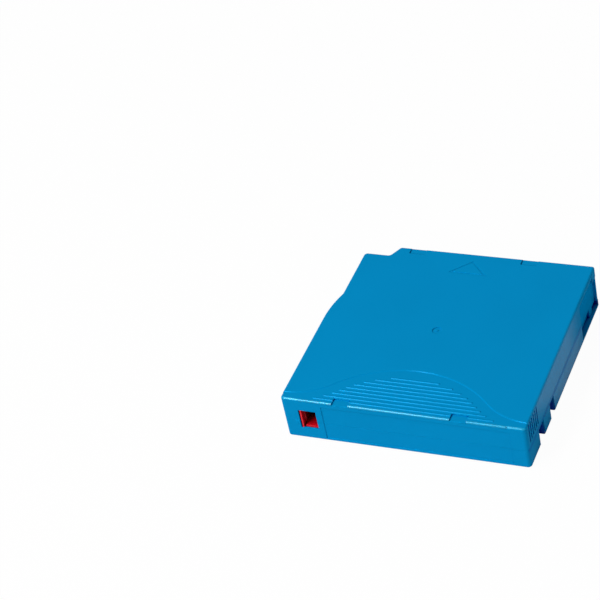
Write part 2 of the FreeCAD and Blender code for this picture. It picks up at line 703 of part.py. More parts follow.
def make_bottom_shell():
    """Lower half of the case."""
    shell = lower_body().cut(inset_case(WALL, FLOOR, PARTING_Z + PAST))
    tongue = inset_case(WALL - TONGUE_T, PARTING_Z - TONGUE_H, PARTING_Z + TONGUE_H)
    tongue = tongue.cut(inset_case(WALL, PARTING_Z - 2 * TONGUE_H, PARTING_Z + 2 * TONGUE_H))
    inside = [tongue] + partitions(FLOOR / 2, PARTING_Z)
    inside += [notch_block(*place) for place in NOTCHES]
    for x, y in screw_places():
        inside.append(post(x, y, SCREW_BOSS_R, FLOOR / 2, PARTING_Z))
    for x, y in locate_places():
        inside.append(post(x, y, LOCATE_BOSS_R, FLOOR / 2, LOCATE_DEPTH + FLOOR / 2))
    inside += board_seats()
    inside.append(post(REEL_X, 0, DRIVE_OPENING_R + DRIVE_RIM_T, FLOOR / 2, FLANGE_LOW,
                       DISC_SIDES))
    rail_y = SWITCH_BACK - RAIL_T - SWITCH_GAP
    x0 = -SIDE + WALL / 2
    x1 = SWITCH_RIGHT + SWITCH_TRAVEL
    inside.append(box(x0, x1, rail_y, rail_y + RAIL_T, FLOOR / 2, SWITCH_LOW - SWITCH_GAP))
    back = SWITCH_BACK + SWITCH_GAP
    inside.append(box(x0, x1, back, back + RAIL_T, FLOOR / 2, PARTING_Z))
    shell = fuse(shell, inside)
    tools = [notch(*place) for place in NOTCHES]
    tools += door_openings() + switch_openings() + [label_recess(), spring_trough()]
    tools.append(rod(REEL_X, 0, DRIVE_OPENING_R, -PAST, FLANGE_LOW + PAST))
    for x, y in screw_places():
        tools.append(post(x, y, SCREW_HEAD_R + SCREW_CLEAR, -PAST, SCREW_SINK + SCREW_HEAD_T))
        tools.append(post(x, y, SCREW_R + SCREW_CLEAR, 0, PARTING_Z + PAST))
    (round_x, hole_y), (slot_x, _) = locate_places()
    tools.append(rod(round_x, hole_y, LOCATE_R, -PAST, LOCATE_DEPTH))
    tools.append(slotted_hole(slot_x, hole_y))
    tools += [board_solid(FIT_GAP), sense_hole(), pin_spring_room()]
    return cut(shell, tools)


def pin_spring_room():
    """Room that the floor's bosses leave round the leader pin's spring."""
    x0 = PIN_X - PIN_SPRING_BACK - FIT_GAP
    half = PIN_SPRING_W / 2 + FIT_GAP
    return box(x0, PIN_X, PIN_Y - half, PIN_Y + half, FLOOR, PARTING_Z)


def slotted_hole(x, y):
    """Blind locating hole drawn out along X."""
    half = LOCATE_SLOT / 2
    middle = box(x - half, x + half, y - LOCATE_R, y + LOCATE_R, -PAST, LOCATE_DEPTH)
    ends = [rod(x + side * half, y, LOCATE_R, -PAST, LOCATE_DEPTH) for side in (-1, 1)]
    return fuse(middle, ends)


def foot_place():
    """Corner of the switch's foot, in the middle of its hole."""
    x = BAR_X + (SENSE_HOLE - SENSE_FOOT) / 2
    y = SWITCH_BACK - RAIL_T - 3 * SWITCH_GAP - SENSE_FOOT
    return x, y


def sense_hole():
    """Square hole that lets the drive feel the switch's foot."""
    x, y = foot_place()
    margin = (SENSE_HOLE - SENSE_FOOT) / 2
    return box(x - margin, x - margin + SENSE_HOLE, y - margin, y - margin + SENSE_HOLE,
               -1, FLOOR + PAST)


def spring_place():
    """Axis and rear end of the door spring."""
    reach = DOOR_SPRING_R + DOOR_SPRING_WIRE
    x = (SKIRT_IN + DOOR_IN) / 2
    z = SLOT_FLOOR + FIT_GAP + reach
    return x, DOOR_REAR - FIT_GAP - DOOR_SPRING_L, z, reach


def spring_trough():
    """Trough in floor and side wall that holds the door spring."""
    x, y, z, reach = spring_place()
    room = reach + FIT_GAP
    return box(x - room, x + room, y - FIT_GAP, DOOR_REAR, SLOT_FLOOR, z + room)


# ---------------------------------------------------------------- door
def make_access_door():
    """Sliding door: stepped panel with opener catch and front hook."""
    low = FLOOR - TRACK_DEPTH + DOOR_GAP
    high = CEILING + TRACK_DEPTH - DOOR_GAP
    step = DOOR_SILL + DOOR_T
    section = [
        (DOOR_IN, high), (DOOR_OUT, high), (DOOR_OUT, DOOR_SILL), (DOOR_IN, DOOR_SILL),
        (DOOR_IN, low), (SKIRT_IN, low), (SKIRT_IN, step), (DOOR_IN, step),
    ]
    points = [V(x, DOOR_REAR, z) for x, z in section]
    panel = Part.Face(Part.makePolygon(points + [points[0]]))
    panel = panel.extrude(V(0, DOOR_FRONT - DOOR_REAR, 0))
    catch_y = DOOR_FRONT - CATCH_FROM_FRONT - CATCH_L
    catch = box(DOOR_IN, DOOR_OUT, catch_y, catch_y + CATCH_L, SLOT_FLOOR + DOOR_GAP, DOOR_SILL)
    hook = box(HOOK_IN, DOOR_IN, DOOR_FRONT - DOOR_HOOK_L, DOOR_FRONT,
               DOOR_SILL, DOOR_CORNER_HEAD)
    lip = box(DOOR_OUT, SIDE - DOOR_LIP_SINK, DOOR_FRONT - DOOR_LIP_L, DOOR_FRONT,
              DOOR_CORNER_SILL + DOOR_GAP, DOOR_CORNER_HEAD - DOOR_GAP)
    return fuse(panel, [catch, hook, lip])


def make_door_spring():
    """Compression coil that pushes the door shut."""
    x, y, z, _ = spring_place()
    length = DOOR_SPRING_L - 2 * DOOR_SPRING_WIRE
    solid = coil(DOOR_SPRING_R, DOOR_SPRING_WIRE, DOOR_SPRING_TURNS, length)
    solid.rotate(V(0, 0, 0), V(1, 0, 0), -90)
    solid.translate(V(x, y + DOOR_SPRING_WIRE, z))
    return solid


# ---------------------------------------------------------------- write-protect switch
def make_write_protect_switch():
    """Hollow slider with a finger bar, a cover plate and a foot for the sensor hole."""
    ledge_x = BAR_X + GRIP_BAR_W
    wall_x = ledge_x + GRIP_LEDGE_W
    body = box(BAR_X, SWITCH_RIGHT, SWITCH_FRONT, SWITCH_BACK, SWITCH_LOW, SWITCH_TOP)
    hollow = box(wall_x, SWITCH_RIGHT - SWITCH_WALL, SWITCH_FRONT - PAST, SWITCH_BACK + PAST,
                 WINDOW_BOTTOM + SWITCH_WALL, WINDOW_TOP - SWITCH_WALL)
    recess = box(ledge_x, wall_x, SWITCH_FRONT - PAST, REAR + GRIP_BAR_DEPTH,
                 WINDOW_BOTTOM, WINDOW_TOP)
    plate = box(SWITCH_LEFT, BAR_X, SWITCH_FRONT, SWITCH_FRONT + SWITCH_PLATE_T,
                SWITCH_LOW, SWITCH_TOP)
    bar = box(BAR_X, ledge_x, REAR + SWITCH_GAP, SWITCH_FRONT,
              WINDOW_BOTTOM + SWITCH_GAP, WINDOW_TOP - SWITCH_GAP)
    x, y = foot_place()
    foot = box(x, x + SENSE_FOOT, y, y + SENSE_FOOT, FLOOR + SWITCH_GAP, SWITCH_LOW)
    return fuse(cut(body, [hollow, recess]), [plate, bar, foot])


# ---------------------------------------------------------------- reel
def toothed_ring(count, r_in, r_out, z_base, z_tip, phase):
    """Ring of straight radial wedge teeth; the crest of each lies at z_tip."""
    r_in = r_in + TOOTH_INSET
    r_out = r_out - TOOTH_INSET
    half = TOOTH_FILL * math.pi * r_in / count
    x = REEL_X + r_in
    points = [V(x, -half, z_base), V(x, half, z_base), V(x, 0, z_tip)]
    tooth = Part.Face(Part.makePolygon(points + [points[0]])).extrude(V(r_out - r_in, 0, 0))
    return [turned(tooth, phase + index * TURN / count) for index in range(count)]


def leg_places():
    """Axes of the three release legs."""
    return [polar(LEG_CIRCLE_R, angle) for angle in LEG_ANGLES]


def make_reel_hub():
    """Hub with the lower flange, drive gear and brake blocks, moulded in one."""
    low = HUB_FLOOR_LOW
    profile = [
        (0, low), (GEAR_OUT, low), (GEAR_OUT, FLANGE_LOW), (REEL_R, FLANGE_LOW),
        (REEL_R, FLANGE_LOW + FLANGE_T), (HUB_R, FLANGE_LOW + FLANGE_T), (HUB_R, FLANGE_HIGH),
        (HUB_R - HUB_WALL, FLANGE_HIGH), (HUB_R - HUB_WALL, HUB_FLOOR_TOP), (0, HUB_FLOOR_TOP),
    ]
    points = [V(REEL_X + r, 0, z) for r, z in profile]
    hub = Part.Face(Part.makePolygon(points + [points[0]])).revolve(V(REEL_X, 0, 0), UP, TURN)
    gear = toothed_ring(GEAR_TEETH, GEAR_IN, GEAR_OUT, low + MERGE, low - GEAR_H, 0.0)
    hub = hub.fuse(gear)
    blocks = []
    teeth = []
    step = TURN / BRAKE_TEETH
    ring_teeth = toothed_ring(BRAKE_TEETH, BRAKE_RING_IN, BRAKE_RING_OUT,
                              BLOCK_TOP - MERGE, BLOCK_TOP + BRAKE_TOOTH_H, 0.0)
    for middle in (angle - BLOCK_FROM_LEG for angle in LEG_ANGLES):
        blocks.append(sector(BRAKE_RING_IN, BRAKE_RING_OUT, middle - BLOCK_ANGLE / 2,
                             BLOCK_ANGLE, HUB_FLOOR_TOP - MERGE, BLOCK_TOP))
        for index in range(BRAKE_TEETH):
            away = (index * step - middle + TURN / 2) % TURN - TURN / 2
            if abs(away) < (BLOCK_ANGLE - step) / 2:
                teeth.append(ring_teeth[index])
    hub = hub.fuse(blocks + teeth)
    tools = []
    for x, y in leg_places():
        tools.append(post(x, y, LEG_R + LEG_HOLE_GAP, low - PAST, HUB_FLOOR_TOP + PAST))
        tools.append(post(x, y, LEG_R + GEAR_LEG_CLEAR, low - GEAR_H - PAST, low))
    tools.append(post(REEL_X, 0, PLATE_IN, low - PAST, low + HUB_FLOOR_T / 2))
    return cut(hub, tools)


def make_reel_flange():
    """Upper flange, seated on the hub wall."""
    return ring(REEL_X, 0, HUB_R - HUB_WALL, REEL_R, FLANGE_HIGH, FLANGE_HIGH + FLANGE_T)


def make_tape_pack():
    """Wound tape."""
    return ring(REEL_X, 0, HUB_R, PACK_R, TAPE_LOW, TAPE_HIGH)


def make_drive_plate():
    """Steel ring that the drive's magnet holds."""
    low = HUB_FLOOR_LOW - PLATE_T
    disc = post(REEL_X, 0, PLATE_OUT, low, HUB_FLOOR_LOW, DISC_SIDES)
    return disc.cut(post(REEL_X, 0, PLATE_IN, low, HUB_FLOOR_LOW))


# ---------------------------------------------------------------- brake
def make_brake_button():
    """Brake disc with downward teeth and a post slotted for the key."""
    disc = post(REEL_X, 0, BRAKE_DISC_R, BRAKE_UNDER, BRAKE_TOP, DISC_SIDES)
    boss = post(REEL_X, 0, BRAKE_POST_R, BRAKE_TOP, POST_TOP, DISC_SIDES // 2)
    half_step = TURN / BRAKE_TEETH / 2
    teeth = toothed_ring(BRAKE_TEETH, BRAKE_RING_IN, BRAKE_RING_OUT,
                         BRAKE_UNDER + MERGE, BRAKE_UNDER - BRAKE_TOOTH_H, half_step)
    button = disc.fuse([boss] + teeth)
    slot = key_cross(KEY_ARM + KEY_GAP, KEY_T + 2 * KEY_GAP, KEY_SLOT_FLOOR, POST_TOP + PAST)
    return button.cut(slot)


def make_brake_spring():
    """Coil between the brake disc and the roof."""
    low = BRAKE_TOP + BRAKE_SPRING_WIRE + FIT_GAP
    high = CEILING - BRAKE_SPRING_WIRE - FIT_GAP
    solid = coil(BRAKE_SPRING_R, BRAKE_SPRING_WIRE, BRAKE_SPRING_TURNS, high - low)
    solid.translate(V(REEL_X, 0, low))
    return solid


def make_brake_release():
    """Three-legged spider that the drive pushes up against the brake."""
    low = HUB_FLOOR_TOP + SPIDER_RISE
    high = low + SPIDER_T
    body = rod(REEL_X, 0, SPIDER_HUB_R, low, high)
    parts = [post(REEL_X, 0, SPIDER_HUB_R / 2, high, BRAKE_UNDER - FIT_GAP)]
    arm = box(REEL_X, REEL_X + LEG_CIRCLE_R + SPIDER_ARM_W / 2,
              -SPIDER_ARM_W / 2, SPIDER_ARM_W / 2, low, high)
    for angle, (x, y) in zip(LEG_ANGLES, leg_places()):
        parts.append(turned(arm, angle))
        parts.append(post(x, y, LEG_R, LEG_TIP_Z, high))
    return fuse(body, parts)


# ---------------------------------------------------------------- leader pin
def make_leader_pin():
    """Turned pin with a head at each end."""
    shaft = post(PIN_X, PIN_Y, PIN_R, PIN_LOW, PIN_HIGH)
    heads = [post(PIN_X, PIN_Y, PIN_END_R, z, z + PIN_END_T, PIN_SIDES)
             for z in (PIN_LOW, PIN_HIGH - PIN_END_T)]
    return fuse(shaft, heads)


def leader_line():
    """Unit direction of the leader and its two ends, pin side first."""
    dx = PIN_X - REEL_X
    away = math.hypot(dx, PIN_Y)
    radius = PACK_R + LEADER_T
    angle = math.atan2(PIN_Y, dx) - math.acos(radius / away)
    end = (REEL_X + radius * math.cos(angle), radius * math.sin(angle))
    length = math.hypot(PIN_X - end[0], PIN_Y - end[1])
    direction = ((end[0] - PIN_X) / length, (end[1] - PIN_Y) / length)
    return direction, length


def make_tape_leader():
    """Leader strip from the pin to where it meets the wound tape."""
    direction, length = leader_line()
    strip = box(PIN_R + FIT_GAP / 2, length, -LEADER_T / 2, LEADER_T / 2, TAPE_LOW, TAPE_HIGH)
    strip.rotate(V(0, 0, 0), UP, math.degrees(math.atan2(direction[1], direction[0])))
    strip.translate(V(PIN_X, PIN_Y, 0))
    return strip


def make_leader_clip():
    """Split sleeve that clamps the leader onto the pin."""
    direction, _ = leader_line()
    low = TAPE_LOW + CLIP_MARGIN
    high = TAPE_HIGH - CLIP_MARGIN
    r_in = PIN_R + FIT_GAP / 2
    sleeve = post(0, 0, r_in + CLIP_T, low, high).cut(post(0, 0, r_in, low, high))
    slot = box(0, 2 * (r_in + CLIP_T), -CLIP_SLOT / 2, CLIP_SLOT / 2, low - PAST, high + PAST)
    clip = sleeve.cut(slot)
    clip.rotate(V(0, 0, 0), UP, math.degrees(math.atan2(direction[1], direction[0])))
    clip.translate(V(PIN_X, PIN_Y, 0))
    return clip


def make_pin_spring():
    """Bent leaf that holds both heads of the pin."""
    t = PIN_SPRING_T
    low = FLOOR
    high = CEILING
    x0 = PIN_X - PIN_SPRING_BACK
    reach = PIN_X + PIN_END_R / 2
    section = [
        (x0, low), (reach, low), (reach, low + t), (x0 + t, low + t),
        (x0 + t, high - t), (reach, high - t), (reach, high), (x0, high),
    ]
    points = [V(x, PIN_Y - PIN_SPRING_W / 2, z) for x, z in section]
    leaf = Part.Face(Part.makePolygon(points + [points[0]])).extrude(V(0, PIN_SPRING_W, 0))
    return leaf


# ---------------------------------------------------------------- small fixed pieces
def make_memory_board():
    """Slanted circuit board of the contactless memory."""
    return board_solid(0.0)


def make_memory_chip():
    """Sealed chip on the board."""
    x0, x1, y, z = board_place()
    chip = post((x0 + x1) / 2, y, CHIP_R, z + BOARD_T / 2, z + BOARD_T / 2 + CHIP_T)
    chip.rotate(V(0, y, z), V(1, 0, 0), -BOARD_TILT)
    return chip


def make_case_screw(x, y):
    """Self-tapping screw with a flat head and a cross recess, head down."""
    head_top = SCREW_SINK + SCREW_HEAD_T
    head = post(x, y, SCREW_HEAD_R, SCREW_SINK, head_top)
    shank = post(x, y, SCREW_R, head_top, head_top + SCREW_L)
    arm = SCREW_HEAD_R * SCREW_CROSS
    half = SCREW_CROSS_W / 2
    deep = SCREW_SINK + SCREW_HEAD_T * SCREW_CROSS
    across = box(x - arm, x + arm, y - half, y + half, SCREW_SINK - PAST, deep)
    along = box(x - half, x + half, y - arm, y + arm, SCREW_SINK - PAST, deep)
    return cut(fuse(head, [shank]), [across.fuse(along)])


def build():
    """Every node of the cartridge, by name."""
    nodes = {
        "top_shell": make_top_shell(),
        "bottom_shell": make_bottom_shell(),
        "access_door": make_access_door(),
        "door_spring": make_door_spring(),
        "write_protect_switch": make_write_protect_switch(),
        "reel_hub": make_reel_hub(),
        "reel_flange": make_reel_flange(),
        "tape_pack": make_tape_pack(),
        "drive_plate": make_drive_plate(),
        "brake_button": make_brake_button(),
        "brake_spring": make_brake_spring(),
        "brake_release": make_brake_release(),
        "leader_pin": make_leader_pin(),
        "leader_clip": make_leader_clip(),
        "tape_leader": make_tape_leader(),
        "pin_spring": make_pin_spring(),
        "memory_board": make_memory_board(),
        "memory_chip": make_memory_chip(),
    }
    for index, (x, y) in enumerate(screw_places(), start=1):
        nodes[f"case_screw_{index}"] = make_case_screw(x, y)
    return nodes


def main():
    """Write one STEP file per node."""
    os.makedirs("parts", exist_ok=True)
    for name, shape in build().items():
        shape.exportStep(f"parts/{name}.step")
        solids = len(shape.Solids)
        print(f"{name}: {solids} solid, {shape.Volume:.1f} mm3, valid {shape.isValid()}")


if __name__ == "__main__":
    main()
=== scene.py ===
"""Looks of a half-inch data tape cartridge, dressed over its packed construction.

Every length is in metres in the cartridge's own frame: X runs along the label face, Y from
the label face to the leading edge, and Z up from the underside.
"""

import logging
import math
from dataclasses import dataclass
from enum import Enum
from typing import Callable, Protocol

import bpy
from mathutils import Matrix, Vector


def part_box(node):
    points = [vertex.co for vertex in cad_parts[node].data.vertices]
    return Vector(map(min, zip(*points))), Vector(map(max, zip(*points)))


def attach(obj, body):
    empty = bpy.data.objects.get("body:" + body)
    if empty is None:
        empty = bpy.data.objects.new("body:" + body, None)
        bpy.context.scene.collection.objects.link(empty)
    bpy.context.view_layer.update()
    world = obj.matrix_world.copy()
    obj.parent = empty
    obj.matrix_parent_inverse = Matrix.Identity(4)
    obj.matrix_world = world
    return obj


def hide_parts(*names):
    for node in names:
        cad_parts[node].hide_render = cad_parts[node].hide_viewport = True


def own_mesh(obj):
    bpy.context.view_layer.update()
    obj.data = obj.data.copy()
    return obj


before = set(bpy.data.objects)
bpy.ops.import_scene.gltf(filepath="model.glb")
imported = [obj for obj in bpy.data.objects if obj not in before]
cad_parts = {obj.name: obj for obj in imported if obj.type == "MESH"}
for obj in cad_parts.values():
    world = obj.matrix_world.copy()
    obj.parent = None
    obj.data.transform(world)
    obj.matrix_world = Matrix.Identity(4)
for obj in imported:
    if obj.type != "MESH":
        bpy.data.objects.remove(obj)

MM = 0.001
Place = tuple[float, float, float]
Colour = tuple[float, float, float]
Span = tuple[float, float]
WHITE: Colour = (1.0, 1.0, 1.0)
log = logging.getLogger("tape_cartridge")

# What the finishes share
NOISE_MIDDLE: Span = (0.3, 0.7)     # middle part of a noise, which gets spread
NOISE_FALL = 0.55                   # how much each finer octave of a noise keeps
FINE_DETAIL = 3.0                   # octaves of a fine pattern
CLOUD = 26 * MM                     # slow drift of a moulding's colour
GRAIN_STRENGTH = 0.6
RECESS_REACH = 8 * MM               # how far off a wall still closes a place in, for the painted recess shade
RECESS_OPEN: Span = (0.52, 0.28)    # open share where the painted recess shade starts, and where it is full
LOOK_SAMPLES = 8                    # rays of the nodes that look round a point

# What the modelling tools share
SMOOTH_ANGLE = math.radians(35)     # edges flatter than this are shaded smooth
FLAT = 0.99                         # least upright part of an upward face's normal
WIRE_SIDES = 12
TURN_STEPS = 36                     # steps in one turn of a wire
WIRE_FIT = 0.98                     # keeps a wound wire just inside its solid


# ---------------------------------------------------------------- shader tools
class Value:
    """Output socket of a shader node that takes part in sums and products."""

    def __init__(self, tree: bpy.types.NodeTree, socket: bpy.types.NodeSocket) -> None:
        """Hold the socket and the tree it belongs to."""
        self.tree = tree
        self.socket = socket

    def beside(self, name: str) -> "Value":
        """Another output of the same node."""
        return Value(self.tree, self.socket.node.outputs[name])

    def _math(self, operation: str, first: object, second: object) -> "Value":
        """Add one Math node.

        Args:
            operation: the Math node's operation.
            first: a value or a number.
            second: a value or a number.

        Returns:
            The node's result.
        """
        node = self.tree.nodes.new("ShaderNodeMath")
        node.operation = operation
        for index, item in enumerate((first, second)):
            if isinstance(item, Value):
                self.tree.links.new(item.socket, node.inputs[index])
            else:
                node.inputs[index].default_value = float(item)
        return Value(self.tree, node.outputs[0])

    def __add__(self, other: object) -> "Value":
        """Sum."""
        return self._math("ADD", self, other)

    __radd__ = __add__

    def __sub__(self, other: object) -> "Value":
        """Difference."""
        return self._math("SUBTRACT", self, other)

    def __rsub__(self, other: object) -> "Value":
        """Difference from a number."""
        return self._math("SUBTRACT", other, self)

    def __mul__(self, other: object) -> "Value":
        """Product."""
        return self._math("MULTIPLY", self, other)

    __rmul__ = __mul__

    def __lt__(self, other: object) -> "Value":
        """One where this value is the smaller."""
        return self._math("LESS_THAN", self, other)

    def __gt__(self, other: object) -> "Value":
        """One where this value is the larger."""
        return self._math("GREATER_THAN", self, other)

    def __abs__(self) -> "Value":
        """Size without sign."""
        return self._math("ABSOLUTE", self, 0.0)


class Wave(Enum):
    """Profiles of a ring pattern."""

    SMOOTH = "SIN"
    STEEP = "SAW"


class Wiring:
    """Nodes of one shader tree, and the method that adds them."""

    def __init__(self, tree: bpy.types.NodeTree) -> None:
        """Empty the tree and hold it."""
        self.tree = tree
        self.tree.nodes.clear()

    def node(self, kind: str, settings: dict[str, object] | None = None,
             inputs: dict[object, object] | None = None,
             output: object = 0) -> Value | None:
        """Add one node.

        Args:
            kind: node type.
            settings: properties, set first.
            inputs: values or links by socket name or number.
            output: name or number of the output wanted.

        Returns:
            The chosen output, or None where the node has no outputs.
        """
        made = self.tree.nodes.new(kind)
        for key, item in (settings or {}).items():
            setattr(made, key, item)
        for key, item in (inputs or {}).items():
            self.feed(made.inputs[key], item)
        return Value(self.tree, made.outputs[output]) if made.outputs else None

    def feed(self, socket: bpy.types.NodeSocket, item: object) -> None:
        """Link or set one input.

        Args:
            socket: the input.
            item: a value to link, a colour or a number.
        """
        if isinstance(item, Value):
            self.tree.links.new(item.socket, socket)
        elif isinstance(item, tuple) and len(item) == 3 and socket.type == "RGBA":
            socket.default_value = (*item, 1.0)
        else:
            socket.default_value = item

    def white_rays(self) -> Value:
        """One for rays that meet a plain white studio: seen, mirrored or seen through.

        Returns:
            One or zero.
        """
        seen = self.node("ShaderNodeLightPath", output="Is Camera Ray")
        mirrored, through = seen.beside("Is Glossy Ray"), seen.beside("Is Transmission Ray")
        return (seen + mirrored + through) > 0.5


class Finish(Wiring):
    """Material under construction: a Principled shader and the nodes that feed it."""

    def __init__(self, name: str) -> None:
        """Start a material.

        Args:
            name: the material's name.
        """
        self.material = bpy.data.materials.new(name)
        self.material.use_nodes = True
        super().__init__(self.material.node_tree)
        self.shader = self.tree.nodes.new("ShaderNodeBsdfPrincipled")
        self.output = self.tree.nodes.new("ShaderNodeOutputMaterial")
        self.surface = Value(self.tree, self.shader.outputs[0])
        self.show(self.surface)

    def show(self, surface: Value) -> None:
        """Send a shader to the material's surface."""
        self.feed(self.output.inputs["Surface"], surface)

    def set(self, **inputs: object) -> None:
        """Feed the Principled shader; underscores in names stand for spaces."""
        for key, item in inputs.items():
            self.feed(self.shader.inputs[key.replace("_", " ")], item)

    def place(self) -> Value:
        """Object coordinates."""
        return self.node("ShaderNodeTexCoord", output="Object")

    def axes(self) -> tuple[Value, Value, Value]:
        """Object coordinates as three numbers."""
        x = self.node("ShaderNodeSeparateXYZ", inputs={0: self.place()})
        return x, x.beside("Y"), x.beside("Z")

    def noise(self, size: float, detail: float = 2.0, stretch: Place | None = None) -> Value:
        """Noise whose grains measure about the given length.

        Args:
            size: grain size.
            detail: octaves.
            stretch: factors on the coordinates, for brushed or flowed looks.

        Returns:
            Noise from 0 to 1.
        """
        place = self.place()
        if stretch is not None:
            place = self.node("ShaderNodeMapping", inputs={"Vector": place, "Scale": stretch})
        return self.node("ShaderNodeTexNoise", inputs={
            "Vector": place, "Scale": 1.0 / size, "Detail": detail, "Roughness": NOISE_FALL})

    def rings(self, centre: Place, profile: Wave, tightness: float, waver: float,
              detail: float = 2.0) -> Value:
        """Fine rings round an upright axis.

        Args:
            centre: a point of the axis.
            profile: wave profile.
            tightness: scale of the wave.
            waver: how far the rings stray.
            detail: octaves of the straying.

        Returns:
            Wave from 0 to 1.
        """
        place = self.node("ShaderNodeMapping", {"vector_type": "POINT"}, {
            "Vector": self.place(), "Location": tuple(-part for part in centre)})
        return self.node("ShaderNodeTexWave", {
            "wave_type": "RINGS", "rings_direction": "Z",
            "wave_profile": profile.value}, {
            "Vector": place, "Scale": tightness, "Distortion": waver, "Detail": detail},
            output="Fac")

    def blend(self, share: Value, low: object, high: object) -> Value:
        """Colour between two colours."""
        return self.node("ShaderNodeMix", {"data_type": "RGBA"},
                         {0: share, 6: low, 7: high}, output=2)

    def spread(self, value: Value, low: float, high: float) -> Value:
        """Map the middle part of a noise onto a range of numbers."""
        return self.node("ShaderNodeMapRange", inputs={
            0: value, 1: NOISE_MIDDLE[0], 2: NOISE_MIDDLE[1], 3: low, 4: high})

    def ease(self, value: Value, low: float, high: float) -> Value:
        """Smooth step from 0 at one limit to 1 at the other, in either order."""
        share = self.node("ShaderNodeMapRange", inputs={0: value, 1: low, 2: high})
        return share * share * (3 - 2 * share)

    def recess_shade(self) -> Value:
        """Share of painted shade: one deep in slots and notches, zero on open faces.

        Returns:
            Share from 0 to 1.
        """
        open_share = self.node("ShaderNodeAmbientOcclusion", {"samples": LOOK_SAMPLES},
                               {"Distance": RECESS_REACH}, output="AO")
        return self.ease(open_share, *RECESS_OPEN)

    def soft_edges(self, radius: float) -> Value:
        """Normal that rolls over every sharp edge as a moulded edge does."""
        return self.node("ShaderNodeBevel", {"samples": LOOK_SAMPLES}, {"Radius": radius})

    def bump(self, height: Value, depth: float, strength: float,
             under: Value | None = None) -> Value:
        """Normal disturbed by a height.

        Args:
            height: height from 0 to 1.
            depth: what a height of 1 measures.
            strength: share of the effect.
            under: normal that this one lies on.

        Returns:
            The new normal.
        """
        inputs = {"Height": height, "Distance": depth, "Strength": strength}
        if under is not None:
            inputs["Normal"] = under
        return self.node("ShaderNodeBump", inputs=inputs)


def box_mask(value: Value, low: float, high: float) -> Value:
    """One where a value lies between two limits."""
    return (value > low) * (value < high)


# ---------------------------------------------------------------- finishes
class Recipe(Protocol):
    """Anything that can make a finish."""

    def make(self) -> Finish:
        """Build the finish."""


@dataclass(frozen=True)
class MouldedPlastic:
    """Injection-moulded plastic with an eroded grain, and painted shade in hollows where a recess
    colour is given.
    """

    name: str
    colour: Colour
    deep: Colour
    rough: Span
    grain: float
    grain_depth: float
    specular: float = 0.5
    gleam: Colour = WHITE
    metal: float = 0.0
    # recess: colour of the painted shade laid into slots, notches and hollows, where shade falls
    recess: Colour | None = None
    edge: float = 0.15 * MM

    def make(self) -> Finish:
        """Build the finish.

        Returns:
            The finish.
        """
        finish = Finish(self.name)
        tint = self.tint(finish)
        # painted shade: the colour turns towards recess where the surface is closed in
        if self.recess is not None:
            tint = finish.blend(finish.recess_shade(), tint, self.recess)
        fine = finish.noise(self.grain, FINE_DETAIL)
        finish.set(Base_Color=tint, Roughness=finish.spread(fine, *self.rough),
                   Normal=self.relief(finish, fine), Metallic=self.metal,
                   Specular_IOR_Level=self.specular, Specular_Tint=self.gleam)
        return finish

    def tint(self, finish: Finish) -> Value:
        """Colour that drifts slowly between the two tones."""
        return finish.blend(finish.spread(finish.noise(CLOUD, 1.0), 0.0, 1.0),
                            self.deep, self.colour)

    def relief(self, finish: Finish, height: Value) -> Value:
        """Normal with the grain, over softened edges."""
        return finish.bump(height, self.grain_depth, GRAIN_STRENGTH,
                           finish.soft_edges(self.edge))


